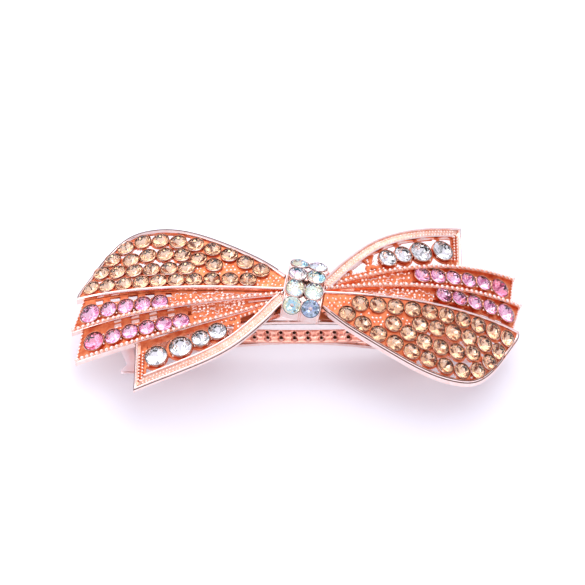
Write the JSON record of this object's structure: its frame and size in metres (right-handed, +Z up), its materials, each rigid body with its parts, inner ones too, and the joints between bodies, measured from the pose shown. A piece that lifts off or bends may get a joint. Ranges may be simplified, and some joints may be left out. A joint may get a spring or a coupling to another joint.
{
  "type": "rhinestone hair clip",
  "caption": "Bow-shaped hair clip: stone-set ribbon castings on an arched plate, with a sprung closing arm, a leaf tension spring and a two-pronged squeeze catch.",
  "frame": {"origin": "on the surface that the clip stands on, under the middle of the bow", "axes": "+X along the bow towards the hinge end of the clasp, +Z up out of the stones' side"},
  "size_m": [0.0982, 0.0418, 0.0231],
  "materials": {
    "rose_gold_casting": "polished rose gold plate",
    "pale_gold_sheet": "bright pale rose gold plate",
    "spring_sheet": "rose gold plated spring steel",
    "pink_stone": "faceted foil-backed glass",
    "clear_stone": "faceted foil-backed glass",
    "rainbow_stone": "faceted glass with a rainbow coating",
    "champagne_stone": "faceted foil-backed glass"
  },
  "bodies": {
    "bow": {"base_plate": "pale_gold_sheet", "catch_bracket": "rose_gold_casting", "catch_rivet": "pale_gold_sheet", "center_saddle": "rose_gold_casting", "hinge_pin": "pale_gold_sheet", "knot_band": "pale_gold_sheet", "knot_stone_1": "rainbow_stone", "knot_stone_2": "rainbow_stone", "knot_stone_3": "rainbow_stone", "knot_stone_4": "rainbow_stone", "knot_stone_5": "rainbow_stone", "knot_stone_6": "rainbow_stone", "knot_stone_7": "rainbow_stone", "knot_stone_8": "rainbow_stone", "left_clear_stone_1": "clear_stone", "left_clear_stone_2": "clear_stone", "left_clear_stone_3": "clear_stone", "left_clear_stone_4": "clear_stone", "left_inner_pink_stone_1": "pink_stone", "left_inner_pink_stone_2": "pink_stone", "left_inner_pink_stone_3": "pink_stone", "left_inner_pink_stone_4": "pink_stone", "left_inner_pink_stone_5": "pink_stone", "left_inner_streamer": "rose_gold_casting", "left_loop": "rose_gold_casting", "left_outer_pink_stone_1": "pink_stone", "left_outer_pink_stone_2": "pink_stone", "left_outer_pink_stone_3": "pink_stone", "left_outer_pink_stone_4": "pink_stone", "left_outer_pink_stone_5": "pink_stone", "left_outer_pink_stone_6": "pink_stone", "left_outer_streamer": "rose_gold_casting", "left_solder_post": "rose_gold_casting", "left_tail": "rose_gold_casting", "right_clear_stone_1": "clear_stone", "right_clear_stone_2": "clear_stone", "right_clear_stone_3": "clear_stone", "right_clear_stone_4": "clear_stone", "right_inner_pink_stone_1": "pink_stone", "right_inner_pink_stone_2": "pink_stone", "right_inner_pink_stone_3": "pink_stone", "right_inner_pink_stone_4": "pink_stone", "right_inner_pink_stone_5": "pink_stone", "right_inner_streamer": "rose_gold_casting", "right_loop": "rose_gold_casting", "right_outer_pink_stone_1": "pink_stone", "right_outer_pink_stone_2": "pink_stone", "right_outer_pink_stone_3": "pink_stone", "right_outer_pink_stone_4": "pink_stone", "right_outer_pink_stone_5": "pink_stone", "right_outer_pink_stone_6": "pink_stone", "right_outer_streamer": "rose_gold_casting", "right_solder_post": "rose_gold_casting", "right_tail": "rose_gold_casting", "spring_rivet": "pale_gold_sheet"},
    "arm": {"closing_arm": "rose_gold_casting"},
    "spring": {"tension_spring": "spring_sheet"},
    "front_prong": {"prong_front": "pale_gold_sheet"},
    "rear_prong": {"prong_rear": "pale_gold_sheet"}
  },
  "joints": [
    {"name": "arm_hinge", "type": "hinge", "parent": "bow", "child": "arm", "pos_m": [0.0375, -0.002, 0.0025], "axis": [0, -1, 0], "range_deg": [0, 80]},
    {"name": "spring_flex", "type": "hinge", "parent": "bow", "child": "spring", "pos_m": [0.0313, -0.002, 0.0103], "axis": [0, 1, 0], "range_deg": [0, 2.5], "stiffness_Nm_per_rad": 1.5},
    {"name": "front_prong_flex", "type": "hinge", "parent": "bow", "child": "front_prong", "pos_m": [-0.0365, -0.0049, 0.00875], "axis": [1, 0, 0], "range_deg": [0, 6], "stiffness_Nm_per_rad": 0.02},
    {"name": "rear_prong_flex", "type": "hinge", "parent": "bow", "child": "rear_prong", "pos_m": [-0.0365, 0.0009, 0.00875], "axis": [-1, 0, 0], "range_deg": [0, 6], "stiffness_Nm_per_rad": 0.02}
  ],
  "couplings": [
    {"joint": "rear_prong_flex", "follows": "front_prong_flex", "ratio": 1}
  ]
}
